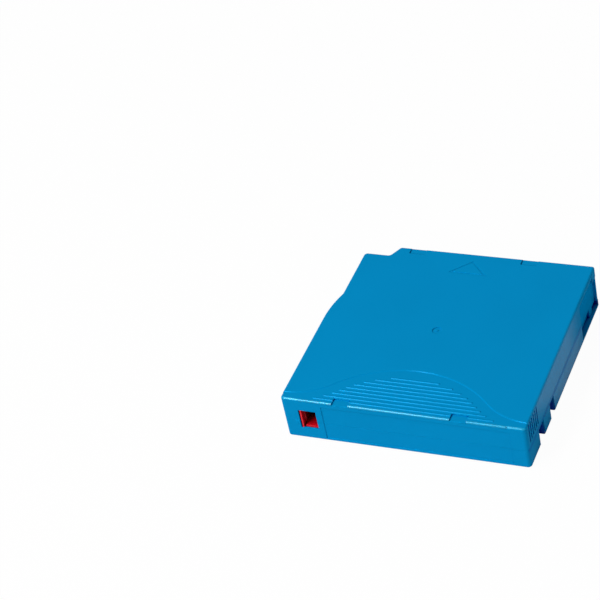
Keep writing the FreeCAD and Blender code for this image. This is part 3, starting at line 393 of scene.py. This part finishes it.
@dataclass(frozen=True)
class CasePlastic(MouldedPlastic):
    """Blue case plastic: grained, smoother in the label recess, with sheen on sides and rim,
    painted shade in hollows and along the side seam, and a painted highlight tint on the rear
    rim.
    """

    seam_z: float = 9.5 * MM
    seam_width: float = 0.16 * MM
    seam_depth: float = 3.0
    side_x: float = 52.3 * MM
    polish: float = 0.19
    polish_rear: Span = (-42.0 * MM, -20.0 * MM)
    polish_front: Span = (26.0 * MM, 4.0 * MM)
    polish_level: float = 14.0 * MM
    polish_lean: float = 1.6
    polish_reach: float = 8.0 * MM
    coat_rough: float = 0.2
    gloss: float = 0.03
    rim_y: float = -50.1 * MM
    rim_z: float = 20.65 * MM
    rim_polish: float = 0.38
    rim_metal: float = 0.05
    # painted highlight: the rear top rim's colour is lighter and greener
    rim_highlight_colour: Colour = (0.0, 0.31, 0.55)
    # painted shade band along the parting seam on the sides, which also dulls the coat there
    seam_shade_z: float = 9.0 * MM
    seam_shade_half: float = 1.8 * MM
    seam_shade_tint: float = 0.3
    seam_shade_dull: float = 0.5
    flow: float = 5 * MM
    flow_rough: float = 0.02
    label_x: Span = (-35.1 * MM, 45.7 * MM)
    label_y: float = -50.6 * MM
    label_z: Span = (1.6 * MM, 18.4 * MM)
    label_shine: float = 0.08
    label_smooth: float = 0.7

    def make(self) -> Finish:
        """Build the finish.

        Returns:
            The finish.
        """
        finish = Finish(self.name)
        x, y, z = finish.axes()
        side = abs(x) > self.side_x
        # painted shade: a darker band along the parting seam on the side faces
        seam_shade = finish.ease(abs(z - self.seam_shade_z), self.seam_shade_half, 0.0) * side
        rim = (y < self.rim_y) * (z > self.rim_z)
        tint = finish.blend(seam_shade * self.seam_shade_tint, self.tint(finish), self.recess)
        # painted shade in slots, notches and hollows
        tint = finish.blend(finish.recess_shade(), tint, self.recess)
        # painted highlight tint along the rear top rim
        tint = finish.blend(rim, tint, self.rim_highlight_colour)
        sheen = self.side_sheen(finish, y, z) * side * (1 - seam_shade * self.seam_shade_dull)
        label = (box_mask(x, *self.label_x) * box_mask(z, *self.label_z)) * (y < self.label_y)
        fine = finish.noise(self.grain, FINE_DETAIL)
        drift = finish.spread(finish.noise(self.flow), -self.flow_rough, self.flow_rough)
        rough = finish.spread(fine, *self.rough) + drift - label * self.label_shine
        seam = (abs(z - self.seam_z) < self.seam_width / 2) * side
        height = fine * (1 - label * self.label_smooth) - seam * self.seam_depth
        finish.set(Base_Color=tint, Roughness=rough, Normal=self.relief(finish, height),
                   Metallic=rim * self.rim_metal + self.metal,
                   Coat_Weight=sheen * self.polish + rim * self.rim_polish + self.gloss,
                   Coat_Roughness=self.coat_rough, Specular_IOR_Level=self.specular,
                   Specular_Tint=self.gleam)
        return finish

    def side_sheen(self, finish: Finish, y: Value, z: Value) -> Value:
        """Share of sheen along the sides, which leans back with height.

        Args:
            finish: the finish being built.
            y: place along the side.
            z: height.

        Returns:
            Share from 0 to 1.
        """
        leaning = y + (z - self.polish_level) * self.polish_lean
        reaching = y - (z < self.seam_z) * self.polish_reach
        return finish.ease(leaning, *self.polish_rear) * finish.ease(reaching,
                                                                     *self.polish_front)


@dataclass(frozen=True)
class WorkedSteel:
    """Steel with marks along one direction."""

    name: str
    colour: Colour
    rough: Span
    stretch: Place
    mark: float = 0.25 * MM
    mark_depth: float = 0.004 * MM
    mark_strength: float = 0.5
    cloud: float = 4 * MM
    dull: float = 0.82

    def make(self) -> Finish:
        """Build the finish.

        Returns:
            The finish.
        """
        finish = Finish(self.name)
        marks = finish.noise(self.mark, FINE_DETAIL, self.stretch)
        dark = tuple(channel * self.dull for channel in self.colour)
        tint = finish.blend(finish.spread(finish.noise(self.cloud), 0.0, 1.0), dark,
                            self.colour)
        finish.set(Base_Color=tint, Metallic=1.0, Roughness=finish.spread(marks, *self.rough),
                   Normal=finish.bump(marks, self.mark_depth, self.mark_strength))
        return finish


@dataclass(frozen=True)
class TurnedSteel:
    """Pressed steel ring with turning marks about the reel axis."""

    name: str
    colour: Colour
    centre: Place
    tightness: float = 2200.0
    waver: float = 1.5
    rough: Span = (0.24, 0.4)
    mark_depth: float = 0.003 * MM
    mark_strength: float = 0.4

    def make(self) -> Finish:
        """Build the finish.

        Returns:
            The finish.
        """
        finish = Finish(self.name)
        rings = finish.rings(self.centre, Wave.SMOOTH, self.tightness, self.waver)
        finish.set(Base_Color=self.colour, Metallic=1.0,
                   Roughness=finish.spread(rings, *self.rough),
                   Normal=finish.bump(rings, self.mark_depth, self.mark_strength))
        return finish


@dataclass(frozen=True)
class WoundTape:
    """Edge of a wound tape: fine rings of slightly different shine."""

    name: str
    colour: Colour
    centre: Place
    tightness: float = 900.0
    waver: float = 0.6
    band: float = 3 * MM
    pale: float = 1.9
    turn_share: float = 0.5
    band_share: float = 0.3
    rough: Span = (0.18, 0.34)
    turn_depth: float = 0.01 * MM
    turn_strength: float = 0.5

    def make(self) -> Finish:
        """Build the finish.

        Returns:
            The finish.
        """
        finish = Finish(self.name)
        turns = finish.rings(self.centre, Wave.STEEP, self.tightness, self.waver,
                             FINE_DETAIL)
        share = turns * self.turn_share + finish.noise(self.band) * self.band_share
        pale = tuple(channel * self.pale for channel in self.colour)
        finish.set(Base_Color=finish.blend(share, self.colour, pale),
                   Roughness=finish.spread(turns, *self.rough),
                   Normal=finish.bump(turns, self.turn_depth, self.turn_strength))
        return finish


@dataclass(frozen=True)
class CircuitBoard:
    """Green solder mask with the loop of the contactless antenna showing through."""

    name: str
    mask: Colour
    trace: Colour
    loop_x: float = 38.7 * MM
    loop_half: float = 5.5 * MM
    lines: float = 320.0
    etched: float = 0.5
    show_through: float = 0.8
    weave: float = 0.3 * MM
    weave_height: float = 0.2
    rough: Span = (0.22, 0.36)
    copper_depth: float = 0.02 * MM
    copper_strength: float = 0.7

    def make(self) -> Finish:
        """Build the finish.

        Returns:
            The finish.
        """
        finish = Finish(self.name)
        x, _, _ = finish.axes()
        lines = finish.node("ShaderNodeTexWave", {"wave_type": "BANDS", "bands_direction": "X"}, {
            "Vector": finish.place(), "Scale": self.lines}, output="Fac")
        copper = (abs(x - self.loop_x) > self.loop_half) * (lines > self.etched)
        weave = finish.noise(self.weave)
        finish.set(Base_Color=finish.blend(copper * self.show_through, self.mask, self.trace),
                   Roughness=finish.spread(weave, *self.rough),
                   Normal=finish.bump(copper + weave * self.weave_height, self.copper_depth,
                                      self.copper_strength))
        return finish


REEL_AXIS: Place = (-1.2 * MM, 0.0, 0.0)
CYAN_GLEAM: Colour = (0.0, 0.75, 1.0)
# colour of the painted shade in the case's and door's slots and notches, and along the side seam
SHADE_NAVY: Colour = (0.0, 0.012, 0.34)
CASE_BLUE = CasePlastic("case_blue", (0.0, 0.250, 0.54), (0.0, 0.243, 0.525), (0.18, 0.24),
                        0.35 * MM, 0.004 * MM, specular=0.0, gleam=CYAN_GLEAM, metal=0.06,
                        edge=0.4 * MM, recess=SHADE_NAVY)
DOOR_BLUE = MouldedPlastic("door_blue", (0.0, 0.262, 0.60), (0.0, 0.255, 0.585), (0.20, 0.26),
                           0.3 * MM, 0.006 * MM, specular=0.0, gleam=CYAN_GLEAM, metal=0.06,
                           edge=0.28 * MM, recess=SHADE_NAVY)
# recess: dark red painted shade deep in the switch's hollow
SWITCH_RED = MouldedPlastic("switch_red", (0.76, 0.002, 0.012), (0.70, 0.002, 0.012),
                            (0.30, 0.38), 0.3 * MM, 0.005 * MM, specular=0.3,
                            recess=(0.06, 0.0, 0.002))
REEL_GREY = MouldedPlastic("reel_grey", (0.62, 0.63, 0.63), (0.56, 0.57, 0.58), (0.35, 0.45),
                           0.4 * MM, 0.006 * MM)
FLANGE_PALE = MouldedPlastic("flange_pale", (0.60, 0.62, 0.64), (0.54, 0.56, 0.59),
                             (0.22, 0.32), 0.5 * MM, 0.004 * MM)
BRAKE_WHITE = MouldedPlastic("brake_white", (0.75, 0.75, 0.72), (0.68, 0.68, 0.65),
                             (0.35, 0.45), 0.3 * MM, 0.005 * MM)
RELEASE_BLACK = MouldedPlastic("release_black", (0.035, 0.035, 0.038), (0.025, 0.025, 0.028),
                               (0.36, 0.48), 0.3 * MM, 0.006 * MM)
CLIP_WHITE = MouldedPlastic("clip_white", (0.72, 0.72, 0.69), (0.66, 0.66, 0.63),
                            (0.3, 0.4), 0.25 * MM, 0.004 * MM)
LEADER_FILM = MouldedPlastic("leader_film", (0.16, 0.16, 0.17), (0.13, 0.13, 0.14),
                             (0.1, 0.18), 1.2 * MM, 0.003 * MM)
CHIP_RESIN = MouldedPlastic("chip_resin", (0.02, 0.02, 0.022), (0.014, 0.014, 0.015),
                            (0.2, 0.34), 0.5 * MM, 0.01 * MM)
SPRING_WIRE = WorkedSteel("spring_wire", (0.50, 0.50, 0.52), (0.22, 0.34), (1.0, 1.0, 1.0))
PIN_STEEL = WorkedSteel("pin_steel", (0.62, 0.62, 0.63), (0.16, 0.26), (1.0, 1.0, 9.0))
SCREW_STEEL = WorkedSteel("screw_steel", (0.42, 0.42, 0.43), (0.28, 0.42), (1.0, 1.0, 4.0))
PLATE_STEEL = TurnedSteel("plate_steel", (0.58, 0.58, 0.59), REEL_AXIS)
TAPE_DARK = WoundTape("wound_tape_edge", (0.022, 0.018, 0.018), REEL_AXIS)
BOARD_GREEN = CircuitBoard("board_green", (0.012, 0.13, 0.05), (0.10, 0.30, 0.10))


def dress(finish: Recipe, *nodes: str) -> None:
    """Give construction nodes a finish.

    Args:
        finish: the finish.
        nodes: names of the nodes.
    """
    material = finish.make().material
    for name in nodes:
        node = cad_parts[name]
        node.data.materials.clear()
        node.data.materials.append(material)
        log.info("%s dressed in %s", name, material.name)


# ---------------------------------------------------------------- modelling tools
class Enter(Enum):
    """Modes used while modelling."""

    OBJECT = "OBJECT"
    EDIT = "EDIT"

    def go(self) -> None:
        """Switch to this mode."""
        bpy.ops.object.mode_set(mode=self.value)


def clear_selection() -> None:
    """Deselect every object."""
    for item in bpy.context.selected_objects:
        item.select_set(False)
    bpy.context.view_layer.objects.active = None


def take(piece: bpy.types.Object) -> None:
    """Select one object alone and make it active.

    Args:
        piece: the object.
    """
    clear_selection()
    piece.select_set(True)
    bpy.context.view_layer.objects.active = piece


def pick(mesh: bpy.types.Mesh, test: Callable[[bpy.types.MeshPolygon], bool]) -> None:
    """Select the faces that pass a test, from object mode.

    Args:
        mesh: the mesh.
        test: says whether a face is wanted.
    """
    for group in (mesh.vertices, mesh.edges, mesh.polygons):
        for item in group:
            item.select = False
    for face in mesh.polygons:
        face.select = test(face)


def soften(piece: bpy.types.Object, width: float, segments: int) -> None:
    """Bevel the sharp edges of the active piece for good.

    Args:
        piece: the piece.
        width: width of the bevel.
        segments: its steps.
    """
    bevel = piece.modifiers.new("soften", "BEVEL")
    bevel.width = width
    bevel.segments = segments
    bevel.limit_method = "ANGLE"
    bpy.ops.object.modifier_apply(modifier=bevel.name)


def settle(piece: bpy.types.Object, name: str, finish: Recipe) -> bpy.types.Object:
    """Bring a finished piece to the frame's origin and dress it.

    Args:
        piece: the modelled object.
        name: its name.
        finish: the finish.

    Returns:
        The same object.
    """
    take(piece)
    bpy.ops.object.transform_apply(location=True, rotation=True, scale=True)
    bpy.ops.object.shade_smooth_by_angle(angle=SMOOTH_ANGLE)
    piece.name = name
    piece.data.name = name
    piece.data.materials.clear()
    piece.data.materials.append(finish.make().material)
    log.info("%s made with %d faces", name, len(piece.data.polygons))
    return piece


def wind(radius: float, wire: float, pitch: float, turns: int, at: Place,
         tilt: Place = (0.0, 0.0, 0.0)) -> bpy.types.Object:
    """Wind a round wire into a coil that starts at a place.

    Args:
        radius: mean radius of the coil.
        wire: radius of the wire.
        pitch: rise of one turn.
        turns: whole turns.
        at: middle of the coil's first end.
        tilt: turn about X, Y and Z, so that the coil's axis leaves Z.

    Returns:
        The coil, closed at both ends.
    """
    clear_selection()
    bpy.ops.mesh.primitive_circle_add(vertices=WIRE_SIDES, radius=wire,
                                      location=(0.0, 0.0, 0.0),
                                      rotation=(math.pi / 2, 0.0, 0.0))
    coil = bpy.context.object
    bpy.ops.object.transform_apply(location=False, rotation=True, scale=False)
    Enter.EDIT.go()
    bpy.ops.mesh.select_all(action="SELECT")
    bpy.ops.transform.translate(value=(radius, 0.0, 0.0))
    Enter.OBJECT.go()
    screw = coil.modifiers.new("wind", "SCREW")
    screw.axis = "Z"
    screw.screw_offset = pitch
    screw.iterations = turns
    screw.steps = TURN_STEPS
    screw.render_steps = TURN_STEPS
    screw.use_merge_vertices = False
    bpy.ops.object.modifier_apply(modifier=screw.name)
    Enter.EDIT.go()
    bpy.ops.mesh.select_all(action="SELECT")
    bpy.ops.mesh.fill_holes(sides=0)
    bpy.ops.mesh.select_all(action="SELECT")
    bpy.ops.mesh.normals_make_consistent(inside=False)
    Enter.OBJECT.go()
    coil.rotation_euler = tilt
    coil.location = at
    return coil


# ---------------------------------------------------------------- sub-assemblies
@dataclass
class CaseShells:
    """Upper and lower half of the case, and the write-protect switch between them."""

    def build(self) -> None:
        """Dress the case."""
        dress(CASE_BLUE, "top_shell", "bottom_shell")
        dress(SWITCH_RED, "write_protect_switch")


@dataclass
class DoorGear:
    """Access door and the coil that shuts it."""

    coil_radius: float = 1.25 * MM
    wire: float = 0.25 * MM
    turns: int = 14
    travel: float = 20 * MM
    hem_low: Place = (50.2 * MM, 44.1 * MM, 3.75 * MM)
    hem_high: Place = (51.45 * MM, 49.98 * MM, 6.0 * MM)
    hem_edge: float = 0.15 * MM
    hem_segments: int = 2

    def build(self) -> None:
        """Dress the door, close its lower front edge and wind its spring."""
        dress(DOOR_BLUE, "access_door")
        hem = settle(self.make_hem(), "door_hem", DOOR_BLUE)
        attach(hem, "door")
        low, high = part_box("door_spring")
        start = low[1] + self.wire
        length = high[1] - self.wire - start
        middle = ((low[0] + high[0]) / 2, start, (low[2] + high[2]) / 2)
        coil = wind(self.coil_radius, self.wire * WIRE_FIT, length / self.turns, self.turns,
                    middle, (-math.pi / 2, 0.0, 0.0))
        settle(coil, "door_coil", SPRING_WIRE)
        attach(coil, "case")
        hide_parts("door_spring")
        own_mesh(coil)

    def make_hem(self) -> bpy.types.Object:
        """Make the strip that closes the door's lower edge between catch and front end.

        Returns:
            The strip at its place.
        """
        clear_selection()
        middle = [(low + high) / 2 for low, high in zip(self.hem_low, self.hem_high)]
        bpy.ops.mesh.primitive_cube_add(size=1.0, location=middle)
        hem = bpy.context.object
        hem.scale = [high - low for low, high in zip(self.hem_low, self.hem_high)]
        bpy.ops.object.transform_apply(location=False, rotation=False, scale=True)
        soften(hem, self.hem_edge, self.hem_segments)
        return hem


@dataclass
class ReelGear:
    """Hub, flange, wound tape and drive plate."""

    def build(self) -> None:
        """Dress the reel."""
        dress(REEL_GREY, "reel_hub")
        dress(FLANGE_PALE, "reel_flange")
        dress(TAPE_DARK, "tape_pack")
        dress(PLATE_STEEL, "drive_plate")


@dataclass
class BrakeGear:
    """Brake button, release and the coil above them."""

    coil_radius: float = 8.6 * MM
    wire: float = 0.5 * MM
    turns: int = 4
    lift: float = 2 * MM

    def build(self) -> None:
        """Dress the brake and wind its spring."""
        dress(BRAKE_WHITE, "brake_button")
        dress(RELEASE_BLACK, "brake_release")
        low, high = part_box("brake_spring")
        start = low[2] + self.wire
        length = high[2] - self.wire - start
        middle = ((low[0] + high[0]) / 2, (low[1] + high[1]) / 2)
        coil = wind(self.coil_radius, self.wire * WIRE_FIT, length / self.turns, self.turns,
                    (*middle, start))
        settle(coil, "brake_coil", SPRING_WIRE)
        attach(coil, "case")
        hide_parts("brake_spring")
        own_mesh(coil)


@dataclass
class LeaderGear:
    """Leader pin with its clip, strip and holding spring."""

    shaft: float = 1.25 * MM
    head: float = 2.0 * MM
    head_length: float = 0.8 * MM
    sides: int = 48
    edge: float = 0.12 * MM
    edge_segments: int = 2

    def build(self) -> None:
        """Dress the clip, strip and spring, and turn the pin."""
        dress(CLIP_WHITE, "leader_clip")
        dress(LEADER_FILM, "tape_leader")
        dress(SPRING_WIRE, "pin_spring")
        pin = settle(self.turn_pin(), "turned_leader_pin", PIN_STEEL)
        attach(pin, "case")
        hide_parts("leader_pin")

    def turn_pin(self) -> bpy.types.Object:
        """Turn the pin from a disc: head, shaft, head, with softened rims.

        Returns:
            The pin at its place.
        """
        low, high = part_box("leader_pin")
        middle = ((low[0] + high[0]) / 2, (low[1] + high[1]) / 2)
        clear_selection()
        bpy.ops.mesh.primitive_cylinder_add(vertices=self.sides, radius=self.head,
                                            depth=self.head_length,
                                            location=(*middle, low[2] + self.head_length / 2))
        pin = bpy.context.object
        pick(pin.data, lambda face: face.normal.z > FLAT)
        Enter.EDIT.go()
        bpy.ops.mesh.inset(thickness=self.head - self.shaft)
        shaft_length = high[2] - low[2] - 2 * self.head_length
        bpy.ops.mesh.extrude_region_move(
            TRANSFORM_OT_translate={"value": (0.0, 0.0, shaft_length)})
        bpy.ops.mesh.extrude_region_move(TRANSFORM_OT_translate={"value": (0.0, 0.0, 0.0)})
        grow = self.head / self.shaft
        bpy.ops.transform.resize(value=(grow, grow, 1.0),
                                 center_override=(*middle, high[2] - self.head_length))
        bpy.ops.mesh.extrude_region_move(
            TRANSFORM_OT_translate={"value": (0.0, 0.0, self.head_length)})
        Enter.OBJECT.go()
        soften(pin, self.edge, self.edge_segments)
        return pin


@dataclass
class MemoryGear:
    """Contactless memory in its corner."""

    def build(self) -> None:
        """Dress board and chip."""
        dress(BOARD_GREEN, "memory_board")
        dress(CHIP_RESIN, "memory_chip")


@dataclass
class CaseScrews:
    """Four self-tapping screws, head down in their wells."""

    count: int = 4
    head: float = 2.3 * MM
    head_length: float = 1.5 * MM
    rim: float = 0.25 * MM
    rim_segments: int = 3
    shank: float = 0.92 * MM
    tip_length: float = 1.4 * MM
    tip_share: float = 0.35
    thread: float = 1.14 * MM
    pitch: float = 1.0 * MM
    sides: int = 40
    recess: float = 1.35 * MM
    recess_width: float = 0.5 * MM
    recess_depth: float = 0.9 * MM

    def build(self) -> None:
        """Make each screw at its node's place."""
        for number in range(1, self.count + 1):
            node = f"case_screw_{number}"
            screw = settle(self.make_screw(node), f"threaded_screw_{number}", SCREW_STEEL)
            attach(screw, "case")
            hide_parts(node)

    def make_screw(self, node: str) -> bpy.types.Object:
        """Make one screw.

        Args:
            node: the construction node it stands for.

        Returns:
            The screw at its place.
        """
        low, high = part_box(node)
        middle = ((low[0] + high[0]) / 2, (low[1] + high[1]) / 2)
        clear_selection()
        bpy.ops.mesh.primitive_cylinder_add(vertices=self.sides, radius=self.head,
                                            depth=self.head_length,
                                            location=(*middle, low[2] + self.head_length / 2))
        screw = bpy.context.object
        soften(screw, self.rim, self.rim_segments)
        pick(screw.data, lambda face: face.normal.z > FLAT)
        Enter.EDIT.go()
        bpy.ops.mesh.inset(thickness=self.head - self.rim - self.shank)
        straight = high[2] - low[2] - self.head_length - self.tip_length
        bpy.ops.mesh.extrude_region_move(
            TRANSFORM_OT_translate={"value": (0.0, 0.0, straight)})
        bpy.ops.mesh.extrude_region_move(
            TRANSFORM_OT_translate={"value": (0.0, 0.0, self.tip_length)})
        bpy.ops.transform.resize(value=(self.tip_share, self.tip_share, 1.0),
                                 center_override=(*middle, high[2]))
        Enter.OBJECT.go()
        self.cut_recess(screw, middle, low[2])
        self.cut_thread(screw, middle, low[2] + self.head_length, high[2] - self.tip_length)
        return screw

    def cut_recess(self, screw: bpy.types.Object, middle: tuple[float, float],
                   z: float) -> None:
        """Sink a cross into the head.

        Args:
            screw: the screw.
            middle: its axis.
            z: the head's outer face.
        """
        for wide, deep in ((self.recess, self.recess_width / 2),
                           (self.recess_width / 2, self.recess)):
            clear_selection()
            bpy.ops.mesh.primitive_cube_add(size=1.0, location=(*middle, z))
            tool = bpy.context.object
            tool.scale = (2 * wide, 2 * deep, 2 * self.recess_depth)
            bpy.ops.object.transform_apply(location=True, rotation=False, scale=True)
            take(screw)
            cut = screw.modifiers.new("recess", "BOOLEAN")
            cut.object = tool
            cut.operation = "DIFFERENCE"
            cut.solver = "EXACT"
            bpy.ops.object.modifier_apply(modifier=cut.name)
            bpy.data.objects.remove(tool)

    def cut_thread(self, screw: bpy.types.Object, middle: tuple[float, float],
                   low: float, high: float) -> None:
        """Wind a ridge round the shank and join it to the screw.

        Args:
            screw: the screw.
            middle: its axis.
            low: where the thread starts.
            high: where it ends.
        """
        turns = int((high - low) / self.pitch) - 1
        ridge = wind(self.shank, self.thread - self.shank, self.pitch, turns,
                     (*middle, low + self.pitch / 2))
        take(screw)
        ridge.select_set(True)
        bpy.ops.object.join()


# ---------------------------------------------------------------- studio
@dataclass
class Studio:
    """Pale floor and backdrop, soft lights and the camera."""

    floor_size: float = 6.0
    wall_height: float = 2.6
    cove: float = 0.8
    cove_segments: int = 10
    at_edge: float = 1e-4
    paper_fibre: float = 2 * MM
    paper_low: Colour = (0.79, 0.79, 0.79)
    paper_high: Colour = (0.81, 0.81, 0.81)
    paper_rough: float = 0.9
    paper_specular: float = 0.05
    floor_glow: float = 0.97
    world_light: float = 0.30
    key_light: float = 1.02
    key_direction: Place = (-0.387, -0.5, 0.775)
    key_distance: float = 1.6
    key_size: Span = (0.3, 1.9)
    camera_at: Place = (0.29068, -0.62139, 0.5959)
    azimuth: float = 29.57
    elevation: float = 38.39
    roll: float = -13.01
    lens: float = 128.5
    sensor: float = 36.0

    def build(self) -> None:
        """Make floor, world, light and camera."""
        self.make_floor()
        self.make_world()
        self.make_key()
        self.make_camera()
        bpy.context.scene.view_settings.view_transform = "Standard"

    def make_floor(self) -> None:
        """Floor that turns up into a backdrop."""
        clear_selection()
        bpy.ops.mesh.primitive_plane_add(size=self.floor_size, location=(0.0, 0.0, 0.0))
        floor = bpy.context.object
        floor.name = "floor"
        far = self.floor_size / 2 - self.at_edge
        Enter.EDIT.go()
        bpy.ops.mesh.select_mode(type="EDGE")
        bpy.ops.mesh.select_all(action="DESELECT")
        Enter.OBJECT.go()
        for edge in floor.data.edges:
            edge.select = min(floor.data.vertices[end].co.y for end in edge.vertices) > far
        Enter.EDIT.go()
        bpy.ops.mesh.extrude_region_move(
            TRANSFORM_OT_translate={"value": (0.0, 0.0, self.wall_height)})
        bpy.ops.mesh.select_mode(type="VERT")
        Enter.OBJECT.go()
        soften(floor, self.cove, self.cove_segments)
        bpy.ops.object.shade_smooth()
        floor.data.materials.append(self.floor_finish())

    def floor_finish(self) -> bpy.types.Material:
        """White paper that reads as white to the camera and still takes a faint shadow.

        Returns:
            The material.
        """
        finish = Finish("studio_paper")
        fibre = finish.spread(finish.noise(self.paper_fibre), 0.0, 1.0)
        finish.set(Base_Color=finish.blend(fibre, self.paper_low, self.paper_high),
                   Roughness=self.paper_rough, Specular_IOR_Level=self.paper_specular)
        glow = finish.node("ShaderNodeEmission", inputs={"Color": WHITE, "Strength": 1.0})
        finish.show(finish.node("ShaderNodeMixShader", inputs={
            0: finish.white_rays() * self.floor_glow, 1: finish.surface, 2: glow}))
        return finish.material

    def make_world(self) -> None:
        """Even light from all round, white to the camera."""
        world = bpy.data.worlds.new("studio")
        bpy.context.scene.world = world
        world.use_nodes = True
        sky = Wiring(world.node_tree)
        strength = sky.white_rays() * (1.0 - self.world_light) + self.world_light
        light = sky.node("ShaderNodeBackground", inputs={"Color": WHITE, "Strength": strength})
        sky.node("ShaderNodeOutputWorld", inputs={"Surface": light})

    def make_key(self) -> None:
        """Long soft lamp from the front left, whose length runs over the label face."""
        away = Vector(self.key_direction).normalized()
        along = away.cross(Vector((1.0, 0.0, 0.0))).normalized()
        lamp = bpy.data.lights.new("key", "AREA")
        lamp.shape = "RECTANGLE"
        lamp.size, lamp.size_y = self.key_size
        lamp.energy = self.key_light * (math.pi * self.key_distance) ** 2
        lamp_object = bpy.data.objects.new("key", lamp)
        bpy.context.scene.collection.objects.link(lamp_object)
        turn = Matrix((along.cross(away), along, away)).transposed()
        lamp_object.matrix_world = (Matrix.Translation(away * self.key_distance)
                                    @ turn.to_4x4())

    def make_camera(self) -> None:
        """Camera at the viewing angle."""
        azimuth, elevation, roll = (math.radians(angle) for angle in
                                    (self.azimuth, self.elevation, self.roll))
        back = Vector((math.sin(azimuth) * math.cos(elevation),
                       -math.cos(azimuth) * math.cos(elevation), math.sin(elevation)))
        right = (-back).cross(Vector((0.0, 0.0, 1.0))).normalized()
        up = right.cross(-back)
        turned_right = math.cos(roll) * right + math.sin(roll) * up
        turned_up = -math.sin(roll) * right + math.cos(roll) * up
        data = bpy.data.cameras.new("camera")
        data.lens = self.lens
        data.sensor_width = self.sensor
        camera = bpy.data.objects.new("camera", data)
        bpy.context.scene.collection.objects.link(camera)
        turn = Matrix((turned_right, turned_up, back)).transposed()
        camera.matrix_world = Matrix.Translation(self.camera_at) @ turn.to_4x4()
        bpy.context.scene.camera = camera


def main() -> None:
    """Dress the cartridge and build the studio."""
    logging.basicConfig(level=logging.INFO, format="%(name)s: %(message)s")
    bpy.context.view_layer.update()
    for assembly in (CaseShells(), DoorGear(), ReelGear(), BrakeGear(), LeaderGear(),
                     MemoryGear(), CaseScrews()):
        assembly.build()
    Studio().build()


if __name__ == "__main__":
    main()
